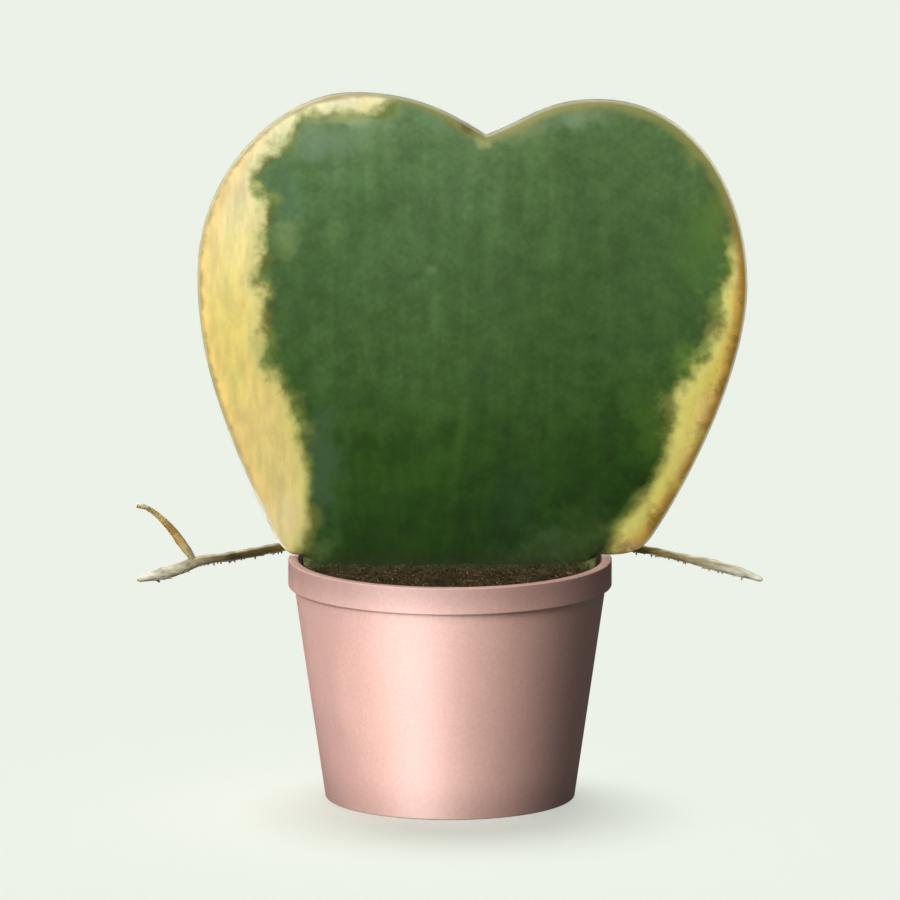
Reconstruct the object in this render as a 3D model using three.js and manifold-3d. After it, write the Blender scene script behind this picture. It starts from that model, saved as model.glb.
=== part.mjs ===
// A potted hoya: one thick heart-shaped leaf stands notch up in a small tapered pot of potting mix,
// and two thin woody runners leave the mix behind it and reach out over the rim, the left one with a curled shoot.
// Millimetres, +Z up, the leaf facing -Y, the origin on the ground at the pot's axis.
import * as THREE from "three";
import { mergeVertices } from "three/addons/utils/BufferGeometryUtils.js";
import Module from "manifold-3d";

// The gap that separate pieces keep where they meet.
const GAP = 0.35;

// Pot: a round cone of thin ware with a band round its mouth.
const POT_HEIGHT = 48.4;
const RIM_RADIUS = 32.4;
const MOUTH_RADIUS = 30.4;
const BAND_HEIGHT = 5.4;
const SHOULDER_RADIUS = 31.2;
const FOOT_RADIUS = 25;
const WALL = 2.0;
const FLOOR_TOP = 3.2;
const FOOT_RING_WIDTH = 3.2;
const FOOT_RECESS = 0.9;
const DRAIN_RADIUS = 4.5;
const LIP_ROUND = 0.5;
const EDGE_ROUND = 0.3;
const POT_SEGMENTS = 64;

// Potting mix: it fills the pot to just under the lip and rises a little towards the leaf.
const SOIL_LEVEL = 46.9;
const SOIL_MOUND = 0.6;
const SOIL_MOUND_SPREAD = 9;
const SOIL_RELIEF = 0.22;
const SOIL_RIPPLE = 0.8;
const SOIL_RINGS = 11;
const SOIL_SEGMENTS = 56;
const CRUMB_COUNT = 120;
const CRUMB_RADIUS = [0.55, 1.15];
const CRUMB_SHAPE = [1, 0.8, 0.65];
const CRUMB_SUNK = 0.15;
const CRUMB_TO_WALL = 2.5;
const CRUMB_TO_SLOT = 1.6;
const CRUMB_TO_RUNNER = 6;

// Leaf: its outline is drawn in the XZ plane, clockwise from the notch between the lobes as seen from the front.
// Each curve of an edge is its two handles and its end.
const NOTCH = [7.2, 133.5];
const RIGHT_EDGE = [
  [[16.3, 136.9], [18.9, 140.8], [30, 140.8]],
  [[48.7, 140.8], [59.4, 122.8], [59.4, 104.1]],
  [[59.4, 89.3], [49.7, 66.7], [40.6, 53.1]],
  [[38.2, 49.7], [36, 49.1], [30.4, 49.1]],
];
const LEFT_EDGE = [
  [[-33, 49.1], [-34.4, 51.6], [-36.2, 55.2]],
  [[-46.5, 77.8], [-50.4, 90.8], [-50.4, 106.1]],
  [[-50.4, 128.5], [-32, 142.2], [-20, 142.2]],
  [[-8.3, 142.2], [-0.9, 138.8], NOTCH],
];
const LEAF_SIDE = 59.4;
const LEAF_TOP = 142.2;
const LEAF_MIDDLE = 99;
const LEAF_THICKNESS = 4.2;
const LEAF_LEAN = 5;
const LEAF_CUP = 4;
const LEAF_COLUMNS = 112;
const LEAF_ROWS = 22;
const MIDRIB_DEPTH = 0.5;
const MIDRIB_WIDTH = 3;

// Leaf's foot: it goes in over the lip, narrows through the mix to the petiole, and stands in a slot.
const OVER_LIP = 49.1;
const FOOT_HALF_WIDTH = 28.4;
const FOOT_TOP = 48.1;
const WAIST_HALF_WIDTH = 19.9;
const WAIST_HEIGHT = 32;
const PETIOLE_HALF_WIDTH = 2.6;
const PETIOLE_TOP = 24;
const PETIOLE_TIP_HALF_WIDTH = 1.9;
const PETIOLE_END = 14;
const SLOT_DROP = 1;
const SLOT_CURVE_STEPS = 8;

// Runners: the points that each one's middle follows, and its radius at even steps from root to tip.
const LEFT_RUNNER = {
  route: [[-16.5, 7, 38], [-19, 6.4, 44.5], [-23.5, 5.6, 49.2], [-29, 5, 50.5], [-34, 4.5, 49.8],
    [-43, 4.2, 48.1], [-50, 4.1, 47.1], [-54, 3.8, 45.6], [-58, 3.5, 44.4], [-62.9, 3, 43.3]],
  radii: [1, 1, 1, 1, 0.98, 0.95, 0.98, 0.9, 1.15, 1.25, 0.4],
};
const LEFT_SHOOT = {
  route: [[-51.2, 4, 46.9], [-52.6, 3.9, 49.1], [-54.4, 3.7, 51.6], [-56.4, 3.5, 54.3],
    [-59, 3.3, 56.9], [-61, 3.1, 58.1], [-62.9, 3, 58.5]],
  radii: [0.7, 0.85, 0.92, 0.88, 0.75, 0.6, 0.5, 0.36],
};
const RIGHT_RUNNER = {
  route: [[17.5, 7, 38], [20.5, 6.4, 44.5], [25.5, 5.6, 49.3], [31, 5, 50.4], [36, 4.7, 49.7],
    [42, 4.4, 48.7], [48, 4.1, 47.4], [56, 3.6, 45.5], [62.9, 3, 43.4]],
  radii: [1, 1, 1, 1, 0.95, 0.82, 0.78, 0.84, 1.08, 1.02, 0.45],
};
const OUT_OF_MIX = 2;
const RUNNER_SIDES = 8;
const RUNNER_STEPS = 30;
const RUNNER_NODES = [0.34, 0.56, 0.78];
const NODE_SWELL = 0.12;
const NODE_LENGTH = 0.016;

const POT_COLOUR = 0xdba79b;
const SOIL_COLOUR = 0x33291b;
const LEAF_COLOUR = 0x46663a;
const RUNNER_COLOUR = 0x6f5d38;

const wasm = await Module();
wasm.setup();

// A closed three.js geometry as a solid that can be joined and cut.
function solidOf(geometry) {
  const bare = geometry.clone();
  bare.deleteAttribute("normal");
  bare.deleteAttribute("uv");
  const merged = mergeVertices(bare, 1e-4);
  return new wasm.Manifold(new wasm.Mesh({
    numProp: 3,
    vertProperties: new Float32Array(merged.attributes.position.array),
    triVerts: new Uint32Array(merged.index.array),
  }));
}

// A solid back as a three.js geometry with flat facets.
function geometryOf(solid) {
  const { vertProperties, triVerts } = solid.getMesh();
  const indexed = new THREE.BufferGeometry();
  indexed.setAttribute("position", new THREE.BufferAttribute(new Float32Array(vertProperties), 3));
  indexed.setIndex(new THREE.BufferAttribute(new Uint32Array(triVerts), 1));
  const geometry = indexed.toNonIndexed();
  geometry.computeVertexNormals();
  return geometry;
}

// Moves every vertex of a geometry to where the rule puts it.
function reshape(geometry, rule) {
  const position = geometry.attributes.position;
  const point = new THREE.Vector3();
  for (let i = 0; i < position.count; i++) {
    point.fromBufferAttribute(position, i);
    rule(point, i);
    position.setXYZ(i, point.x, point.y, point.z);
  }
  return geometry;
}

// A closed profile of radii and heights, turned round the upright axis.
function turned(profile, segments) {
  const points = profile.map(([radius, height]) => new THREE.Vector2(radius, height));
  return new THREE.LatheGeometry(points, segments).rotateX(Math.PI / 2);
}

// A repeatable run of random numbers from 0 to 1.
function seededRandom(seed) {
  let state = seed;
  return () => {
    state = (state * 1664525 + 1013904223) >>> 0;
    return state / 2 ** 32;
  };
}

const smoothstep = THREE.MathUtils.smoothstep;
const lerp = THREE.MathUtils.lerp;

// The pot's inner wall radius at a height.
function innerRadius(z) {
  const shoulder = POT_HEIGHT - BAND_HEIGHT;
  const body = lerp(FOOT_RADIUS, SHOULDER_RADIUS, z / shoulder) - WALL;
  return Math.min(body, MOUTH_RADIUS);
}

function potGeometry() {
  const shoulder = POT_HEIGHT - BAND_HEIGHT;
  const footInner = FOOT_RADIUS - FOOT_RING_WIDTH;
  return turned([
    [DRAIN_RADIUS, FOOT_RECESS],
    [footInner - FOOT_RECESS / 2, FOOT_RECESS],
    [footInner, 0],
    [FOOT_RADIUS - EDGE_ROUND, 0],
    [FOOT_RADIUS, EDGE_ROUND],
    [SHOULDER_RADIUS, shoulder],
    [RIM_RADIUS - EDGE_ROUND, shoulder],
    [RIM_RADIUS, shoulder + EDGE_ROUND],
    [RIM_RADIUS, POT_HEIGHT - EDGE_ROUND],
    [RIM_RADIUS - EDGE_ROUND, POT_HEIGHT],
    [MOUTH_RADIUS + LIP_ROUND, POT_HEIGHT],
    [MOUTH_RADIUS, POT_HEIGHT - LIP_ROUND],
    [innerRadius(shoulder), shoulder],
    [innerRadius(FLOOR_TOP + WALL), FLOOR_TOP + WALL],
    [innerRadius(FLOOR_TOP) - WALL, FLOOR_TOP],
    [DRAIN_RADIUS, FLOOR_TOP],
    [DRAIN_RADIUS, FOOT_RECESS],
  ], POT_SEGMENTS);
}

// How far the mix stands above its level at a place.
function soilRise(x, y) {
  const mound = SOIL_MOUND * Math.exp(-((y / SOIL_MOUND_SPREAD) ** 2));
  const across = Math.sin(SOIL_RIPPLE * x + 1) * Math.cos(SOIL_RIPPLE * y);
  const aslant = Math.sin(SOIL_RIPPLE * (x - y));
  return mound + SOIL_RELIEF * (across + aslant);
}

function soilBody() {
  const bottom = FLOOR_TOP + GAP;
  const top = innerRadius(SOIL_LEVEL) - GAP;
  const profile = [
    [0, bottom],
    [innerRadius(FLOOR_TOP) - WALL - GAP, bottom],
    [innerRadius(FLOOR_TOP + WALL) - GAP, FLOOR_TOP + WALL + GAP],
    [innerRadius(POT_HEIGHT - BAND_HEIGHT) - GAP, POT_HEIGHT - BAND_HEIGHT],
    [top, SOIL_LEVEL - 2 * SOIL_RELIEF],
  ];
  for (let ring = SOIL_RINGS; ring >= 0; ring--) {
    profile.push([(top - LIP_ROUND) * (ring / SOIL_RINGS), SOIL_LEVEL]);
  }
  return solidOf(reshape(turned(profile, SOIL_SEGMENTS), (p) => {
    if (p.z > SOIL_LEVEL - SOIL_RELIEF) p.z += soilRise(p.x, p.y);
  }));
}

// Crumbs of bark and grit, each sunk in the surface, clear of the leaf's slot and the runners' holes.
function soilCrumbs() {
  const random = seededRandom(41);
  const reach = innerRadius(SOIL_LEVEL) - CRUMB_TO_WALL;
  const holes = [LEFT_RUNNER, RIGHT_RUNNER].map(({ route }) => {
    const [x, y] = route[OUT_OF_MIX];
    return new THREE.Vector2(x, y);
  });
  const crumbs = [];
  while (crumbs.length < CRUMB_COUNT) {
    const place = new THREE.Vector2(lerp(-reach, reach, random()), lerp(-reach, reach, random()));
    const radius = lerp(...CRUMB_RADIUS, random() ** 2);
    const turn = new THREE.Euler(random() * Math.PI, random() * Math.PI, random() * Math.PI);
    const inSlot = Math.abs(place.y) < LEAF_THICKNESS / 2 + GAP + CRUMB_TO_SLOT;
    const inHole = holes.some((hole) => hole.distanceTo(place) < CRUMB_TO_RUNNER);
    if (place.length() > reach || inSlot || inHole) continue;
    const height = SOIL_LEVEL + soilRise(place.x, place.y) - radius * CRUMB_SUNK;
    const crumb = new THREE.OctahedronGeometry(radius, 0).scale(...CRUMB_SHAPE);
    crumb.applyMatrix4(new THREE.Matrix4().makeRotationFromEuler(turn));
    crumbs.push(solidOf(crumb.translate(place.x, place.y, height)));
  }
  return crumbs;
}

function leafOutline() {
  const outline = new THREE.Shape();
  outline.moveTo(...NOTCH);
  RIGHT_EDGE.forEach((curve) => outline.bezierCurveTo(...curve.flat()));
  outline.quadraticCurveTo(FOOT_HALF_WIDTH, OVER_LIP, FOOT_HALF_WIDTH, FOOT_TOP);
  outline.quadraticCurveTo(WAIST_HALF_WIDTH, WAIST_HEIGHT, PETIOLE_HALF_WIDTH, PETIOLE_TOP);
  outline.lineTo(PETIOLE_TIP_HALF_WIDTH, PETIOLE_END);
  outline.lineTo(-PETIOLE_TIP_HALF_WIDTH, PETIOLE_END);
  outline.lineTo(-PETIOLE_HALF_WIDTH, PETIOLE_TOP);
  outline.quadraticCurveTo(-WAIST_HALF_WIDTH, WAIST_HEIGHT, -FOOT_HALF_WIDTH, FOOT_TOP);
  outline.quadraticCurveTo(-FOOT_HALF_WIDTH, OVER_LIP, -MOUTH_RADIUS, OVER_LIP);
  LEFT_EDGE.forEach((curve) => outline.bezierCurveTo(...curve.flat()));
  return outline.getSpacedPoints(LEAF_COLUMNS);
}

// Where the midrib runs at a height: straight from the petiole to the notch.
function midribAt(z) {
  return (NOTCH[0] * (z - PETIOLE_END)) / (NOTCH[1] - PETIOLE_END);
}

// How far behind the pot's middle plane the leaf's own middle lies: it leans back and its sides cup forward.
function leafBend(x, z) {
  const middle = midribAt(LEAF_MIDDLE);
  const aside = (x - middle) / (LEAF_SIDE - middle);
  const lean = LEAF_LEAN * smoothstep(z, POT_HEIGHT, LEAF_TOP);
  return lean - LEAF_CUP * aside ** 2 * smoothstep(z, POT_HEIGHT, LEAF_MIDDLE);
}

// A flattened ball whose columns run out to the outline, full in the middle and rounded at the edge,
// with a shallow fold along the midrib.
function leafGeometry() {
  const outline = leafOutline();
  const ball = new THREE.SphereGeometry(1, LEAF_COLUMNS, LEAF_ROWS);
  return reshape(ball, (p, i) => {
    const edge = outline[i % (LEAF_COLUMNS + 1)];
    const out = Math.min(1, Math.hypot(p.x, p.z));
    const fullness = out > 1 - 1e-6 ? 0 : (1 - out ** 8) ** 0.3;
    const half = Math.sign(p.y) * (LEAF_THICKNESS / 2) * fullness;
    const x = lerp(midribAt(LEAF_MIDDLE), edge.x, out);
    const z = lerp(LEAF_MIDDLE, edge.y, out);
    const near = Math.exp(-(((x - midribAt(z)) / MIDRIB_WIDTH) ** 2));
    const fold = MIDRIB_DEPTH * near * smoothstep(z, POT_HEIGHT, LEAF_MIDDLE) * (1 - out ** 4);
    p.set(x, half + leafBend(x, z) + fold, z);
  });
}

// The slot that the leaf's foot stands in, a little deeper than the foot under its curved flanks.
function footSlot() {
  const side = FOOT_HALF_WIDTH + GAP;
  const sideEnd = FOOT_TOP - SLOT_DROP;
  const waist = WAIST_HALF_WIDTH + GAP;
  const waistHeight = WAIST_HEIGHT - 2 * SLOT_DROP;
  const stem = PETIOLE_HALF_WIDTH + GAP;
  const stemTop = PETIOLE_TOP - 3 * SLOT_DROP;
  const slot = new THREE.Shape();
  slot.moveTo(-side, POT_HEIGHT);
  slot.lineTo(-side, sideEnd);
  slot.quadraticCurveTo(-waist, waistHeight, -stem, stemTop);
  slot.lineTo(-stem, PETIOLE_END - GAP);
  slot.lineTo(stem, PETIOLE_END - GAP);
  slot.lineTo(stem, stemTop);
  slot.quadraticCurveTo(waist, waistHeight, side, sideEnd);
  slot.lineTo(side, POT_HEIGHT);
  const depth = LEAF_THICKNESS + 2 * GAP;
  const cutter = new THREE.ExtrudeGeometry(slot, { depth, bevelEnabled: false, curveSegments: SLOT_CURVE_STEPS });
  return solidOf(cutter.rotateX(Math.PI / 2).translate(0, depth / 2, 0));
}

// A rod of changing radius along a route, with a small swelling at each of its nodes.
function rodGeometry({ route, radii }, nodes, grow = 0) {
  const curve = new THREE.CatmullRomCurve3(route.map((point) => new THREE.Vector3(...point)));
  const frames = curve.computeFrenetFrames(RUNNER_STEPS);
  const rod = new THREE.CylinderGeometry(1, 1, 1, RUNNER_SIDES, RUNNER_STEPS);
  return reshape(rod, (p) => {
    const step = Math.round((p.y + 0.5) * RUNNER_STEPS);
    const along = step / RUNNER_STEPS;
    const stretch = Math.min(Math.floor(along * (radii.length - 1)), radii.length - 2);
    const thickness = lerp(radii[stretch], radii[stretch + 1], along * (radii.length - 1) - stretch);
    const swell = nodes.reduce((sum, node) => sum + Math.exp(-(((along - node) / NODE_LENGTH) ** 2)), 0);
    const radius = thickness * (1 + NODE_SWELL * swell) + grow;
    const across = frames.normals[step].clone().multiplyScalar(p.x * radius);
    const beside = frames.binormals[step].clone().multiplyScalar(-p.z * radius);
    p.copy(curve.getPointAt(along)).add(across).add(beside);
  });
}

// The mix with its crumbs, cut for the leaf's foot and for both runners.
function soilGeometry() {
  const holes = [LEFT_RUNNER, RIGHT_RUNNER].map((runner) => solidOf(rodGeometry(runner, RUNNER_NODES, GAP)));
  const filled = wasm.Manifold.union([soilBody(), ...soilCrumbs()]);
  return geometryOf(filled.subtract(wasm.Manifold.union([footSlot(), ...holes])));
}

function leftRunnerGeometry() {
  const shoot = solidOf(rodGeometry(LEFT_SHOOT, []));
  return geometryOf(solidOf(rodGeometry(LEFT_RUNNER, RUNNER_NODES)).add(shoot));
}

function piece(name, geometry, color, roughness) {
  const mesh = new THREE.Mesh(geometry, new THREE.MeshStandardMaterial({ color, roughness, metalness: 0 }));
  mesh.name = name;
  return mesh;
}

const plant = new THREE.Group();
plant.add(
  piece("pot", potGeometry(), POT_COLOUR, 0.5),
  piece("soil", soilGeometry(), SOIL_COLOUR, 0.95),
  piece("leaf", leafGeometry(), LEAF_COLOUR, 0.45),
  piece("runner_left", leftRunnerGeometry(), RUNNER_COLOUR, 0.8),
  piece("runner_right", rodGeometry(RIGHT_RUNNER, RUNNER_NODES), RUNNER_COLOUR, 0.8),
);

export default plant;
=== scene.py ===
# Dresses the potted hoya: a thick heart-shaped leaf with a cream margin, in a small pink pot.
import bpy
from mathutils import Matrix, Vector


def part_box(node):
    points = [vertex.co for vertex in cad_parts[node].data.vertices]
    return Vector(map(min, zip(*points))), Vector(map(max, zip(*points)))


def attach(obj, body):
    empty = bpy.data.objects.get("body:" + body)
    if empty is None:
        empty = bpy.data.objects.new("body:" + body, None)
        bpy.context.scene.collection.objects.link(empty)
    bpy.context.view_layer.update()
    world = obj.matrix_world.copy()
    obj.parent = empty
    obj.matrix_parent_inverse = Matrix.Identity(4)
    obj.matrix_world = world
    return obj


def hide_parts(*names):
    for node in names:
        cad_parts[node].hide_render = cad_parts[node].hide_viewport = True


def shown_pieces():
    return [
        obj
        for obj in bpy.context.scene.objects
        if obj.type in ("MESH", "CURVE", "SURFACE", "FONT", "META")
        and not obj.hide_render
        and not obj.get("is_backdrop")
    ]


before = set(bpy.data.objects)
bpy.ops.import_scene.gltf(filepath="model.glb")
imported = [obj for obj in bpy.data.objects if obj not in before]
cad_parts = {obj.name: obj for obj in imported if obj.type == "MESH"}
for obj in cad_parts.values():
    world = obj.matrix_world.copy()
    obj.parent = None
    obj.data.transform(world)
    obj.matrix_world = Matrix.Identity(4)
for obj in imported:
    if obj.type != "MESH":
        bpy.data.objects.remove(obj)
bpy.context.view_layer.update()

import math
import random

import bmesh
import bpy
import numpy as np
from mathutils import Matrix, Vector, noise
from mathutils.geometry import interpolate_bezier

MM = 0.001

# The camera stands far off with a long lens, a little above the plant, as in the photograph.
CAMERA_DISTANCE = 3.0
CAMERA_ELEVATION = math.radians(10.4)
CAMERA_TARGET = Vector((0, 0, 70.4 * MM))
FIELD_WIDTH = 180 * MM
SENSOR_WIDTH = 36

# The light from all round, and the floor's own glow, which keeps the shadow on it faint.
WORLD_LIGHT = 0.1
FLOOR_GLOW = 0.578
LAMP_TARGET = Vector((0, 0, 60 * MM))

# Pot: the frame gives its height and its rim, and the rest repeats the sizes that it was turned to.
POT_LOW, POT_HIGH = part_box("pot")
POT_HEIGHT = POT_HIGH.z
RIM_RADIUS = POT_HIGH.x
WALL = 2 * MM
MOUTH_RADIUS = RIM_RADIUS - WALL
BAND_HEIGHT = 5.4 * MM
BAND_DEPTH = 1.2 * MM
SHOULDER_RADIUS = RIM_RADIUS - BAND_DEPTH
FOOT_RADIUS = 25 * MM
FLOOR_TOP = 3.2 * MM
FOOT_RING_WIDTH = 3.2 * MM
FOOT_RECESS = 0.9 * MM
DRAIN_RADIUS = 4.5 * MM
EDGE_ROUND = 0.28 * MM
POT_STEPS = 192

# Potting mix: a low mound along the leaf and a small heap at each end of it, with unevenness of three sizes,
# each given by its height, how fast it changes and its own layer of noise.
SOIL_LEVEL = 46.9 * MM
SOIL_EDGE_DROP = 0.6 * MM
SOIL_GAP = 0.35 * MM
SOIL_MOUND = 0.6 * MM
SOIL_MOUND_SPREAD = 9 * MM
SOIL_HEAP = 1.25 * MM
SOIL_HEAP_PLACE = 29 * MM
SOIL_HEAP_WIDTH = 2.4 * MM
SOIL_HEAP_DEPTH = 4 * MM
SOIL_UNEVENNESS = [(0.5 * MM, 160, 0), (0.38 * MM, 520, 0.3), (0.2 * MM, 1300, 0.7)]
SOIL_STEPS = 260
SOIL_RINGS = 72

# What lies loose on the mix: how many, the least and greatest radius, the three sides against it, the darkest
# and palest tone, and how high each one's middle lies against its radius.
CRUMBS = (2600, (0.15 * MM, 0.5 * MM), (1, 0.8, 0.6), (0.1, 0.62), 0.1)
BARK_CHIPS = (110, (0.4 * MM, 0.9 * MM), (1.5, 0.24, 0.18), (0.4, 0.9), 0.2)
SAND_GRAINS = (1500, (0.06 * MM, 0.13 * MM), (1, 0.9, 0.8), (0, 0.9), 0.9)
LUMPS_AT_ONCE = 150

# Leaf: its outline in millimetres, clockwise from the notch as seen from the front.
# Each curve is its two handles and its end.
NOTCH = (7.2, 133.5)
RIGHT_EDGE = [
    ((16.3, 136.9), (18.9, 140.8), (30, 140.8)),
    ((48.7, 140.8), (59.4, 122.8), (59.4, 104.1)),
    ((59.4, 89.3), (49.7, 66.7), (40.6, 53.1)),
    ((38.2, 49.7), (36, 49.1), (30.4, 49.1)),
]
FOOT_EDGE = [
    ((29.1, 49.1), (28.4, 48.8), (28.4, 48.1)),
    ((22.7, 37.4), (14.1, 29.3), (2.6, 24)),
    ((2.4, 20), (2.1, 17), (1.9, 14)),
    ((0.6, 13.6), (-0.6, 13.6), (-1.9, 14)),
    ((-2.1, 17), (-2.4, 20), (-2.6, 24)),
    ((-14.1, 29.3), (-22.7, 37.4), (-28.4, 48.1)),
    ((-28.4, 48.8), (-29.1, 49.1), (-30.4, 49.1)),
]
LEFT_EDGE = [
    ((-33, 49.1), (-34.4, 51.6), (-36.2, 55.2)),
    ((-46.5, 77.8), (-50.4, 90.8), (-50.4, 106.1)),
    ((-50.4, 128.5), (-32, 142.18), (-20, 142.18)),
    ((-8.3, 142.18), (-0.9, 138.8), NOTCH),
]
# The edge of the leaf's green middle, drawn the same way: cream lies outside it.
# Where the green reaches the rim or the mix, the edge runs outside the leaf.
GREEN_START = (7.2, 137)
GREEN_EDGE = [
    ((13, 139), (18, 144), (30, 144)),
    ((49, 144), (61.5, 126), (60.8, 117)),
    ((60.4, 113.5), (57.2, 112.4), (56.4, 109.6)),
    ((55.4, 106), (53.2, 104), (53.6, 99.6)),
    ((53.8, 96), (51.8, 92.6), (50.2, 89)),
    ((48, 85.4), (45.2, 81.6), (44.7, 77)),
    ((43.8, 73.4), (44.9, 69.9), (42.7, 66.8)),
    ((39.8, 63.2), (39.2, 60.4), (36.4, 57.4)),
    ((34, 54.6), (32.4, 51.6), (31.4, 47)),
    ((14, 10), (-12, 10), (-32.6, 45)),
    ((-31.6, 49.4), (-30.2, 52), (-28.8, 54.6)),
    ((-28.5, 55.4), (-28.5, 56.2), (-28.6, 57)),
    ((-28.2, 62), (-28.8, 68), (-29.8, 72.4)),
    ((-31.6, 77), (-33.2, 82), (-34.8, 85.4)),
    ((-37.2, 88.4), (-38, 91), (-37.8, 94)),
    ((-37.2, 98), (-36.6, 101), (-38.4, 104.4)),
    ((-39.4, 108), (-36.6, 111), (-37, 115.6)),
    ((-37.6, 119), (-36.2, 121.6), (-38.4, 124.8)),
    ((-39.6, 127.4), (-36.2, 130), (-34, 131.8)),
    ((-32.4, 133.6), (-31.4, 136.2), (-28.4, 137)),
    ((-25, 137.5), (-20, 137.2), (-15.5, 138.9)),
    ((-12.5, 140.2), (-11.3, 143.6), (-8, 143.6)),
    ((-2, 143.4), (2, 139), GREEN_START),
]
LEAF_SIDE = 59.4
LEAF_TOP = 142.2
LEAF_MIDDLE = 99
LEAF_THICKNESS = 4.2
LEAF_LEAN = 5
LEAF_CUP = 4
LEAF_CENTRE = 5.1
MIDRIB_FOOT = -0.4
MIDRIB_DEPTH = 0.3
MIDRIB_WIDTH = 3
LEAF_SWELLS = [(0.35, 24, 0), (0.12, 9, 7)]
LEAF_COLUMNS = 440
LEAF_ROWS = 96

# Runners, in millimetres: the points that each one's middle follows, and its radius at even steps from root
# to tip.
LEFT_ROUTE = [(-16.5, 7, 38), (-19, 6.4, 44.5), (-23.5, 5.6, 49.2), (-29, 5, 50.5), (-34, 4.5, 49.8),
              (-43, 4.2, 48.1), (-50, 4.1, 47.1), (-54, 3.8, 45.6), (-58, 3.5, 44.4), (-62.8, 3, 43.3)]
SHOOT_ROUTE = [(-51.2, 4, 46.9), (-52.6, 3.9, 49.1), (-54.4, 3.7, 51.6), (-56.4, 3.5, 54.3),
               (-59, 3.3, 56.9), (-61, 3.1, 58.1), (-62.9, 3, 58.5)]
RIGHT_ROUTE = [(17.5, 7, 38), (20.5, 6.4, 44.5), (25.5, 5.6, 49.3), (31, 5, 50.4), (36, 4.7, 49.7),
               (42, 4.4, 48.7), (48, 4.1, 47.4), (56, 3.6, 45.5), (62.8, 3, 43.4)]
LEFT_RADII = (1.0, 1.0, 1.0, 1.0, 0.98, 0.95, 0.98, 0.9, 1.15, 1.25, 0.4)
SHOOT_RADII = (0.7, 0.85, 0.92, 0.88, 0.75, 0.6, 0.5, 0.36)
RIGHT_RADII = (1.0, 1.0, 1.0, 1.0, 0.95, 0.82, 0.78, 0.84, 1.08, 1.02, 0.45)
BARK_GRAIN = 1.7
BARK_DEPTH = 0.13
END_STEPS = 4
ROOTLET_COUNT = 46
ROOTLET_STRETCH = (0.42, 0.93)
ROOTLET_LENGTHS = (0.25, 0.8)
ROOTLET_RADIUS = 0.26
ROOTLET_TIP = 0.104


def tint(red, green, blue):
    """A colour as the photograph shows it, 0 to 255, in the linear values that a shader takes."""
    def linear(level):
        share = level / 255
        return share / 12.92 if share <= 0.04045 else ((share + 0.055) / 1.055) ** 2.4
    return (linear(red), linear(green), linear(blue), 1)


# Clouds in the green, where other tissue shows through: place and reach in millimetres, height over width,
# strength and colour.
LEAF_PATCHES = [
    (-22, 137.4, 9, 0.3, 0.6, tint(196, 200, 156)),
    (-14, 136.6, 6, 0.5, 0.4, tint(140, 160, 120)),
    (-25, 133.5, 11, 0.8, 0.55, tint(118, 142, 114)),
    (-33, 120, 6, 1.6, 0.35, tint(88, 122, 96)),
    (-4, 137, 6, 0.6, 0.4, tint(84, 128, 92)),
    (25, 137, 8, 0.45, 0.5, tint(128, 148, 116)),
    (13, 135, 8, 0.6, 0.35, tint(136, 146, 98)),
    (6.4, 132.6, 2.6, 1.1, 0.75, tint(170, 182, 122)),
    (51, 131, 6, 0.8, 0.55, tint(124, 130, 64)),
    (53.5, 119, 5, 1.8, 0.45, tint(104, 118, 44)),
    (50, 112, 8, 1.9, 0.4, tint(72, 108, 36)),
    (47.5, 89, 6, 1.1, 0.5, tint(92, 122, 48)),
    (41, 76, 5, 2.2, 0.45, tint(72, 98, 34)),
    (-33, 113.5, 5.5, 1.1, 0.55, tint(126, 146, 88)),
    (-25.5, 69, 6.5, 3.4, 0.7, tint(61, 84, 57)),
    (14, 62, 9, 1.3, 0.3, tint(38, 62, 40)),
    (27, 55, 9, 0.9, 0.5, tint(50, 72, 28)),
    (-5, 68, 11, 1.4, 0.35, tint(34, 66, 10)),
    (-28, 50, 6, 0.8, 0.6, tint(76, 94, 44)),
    (22, 50, 17, 0.5, 0.6, tint(58, 78, 42)),
    (-3.6, 106.8, 1.6, 0.8, 0.35, tint(112, 136, 92)),
    (-7, 105.6, 1.8, 0.7, 0.5, tint(40, 66, 34)),
]


def smooth(value, low, high):
    """0 below low, 1 above high and an S curve between them, for numbers and arrays."""
    share = np.clip((value - low) / (high - low), 0, 1)
    return share * share * (3 - 2 * share)


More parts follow.
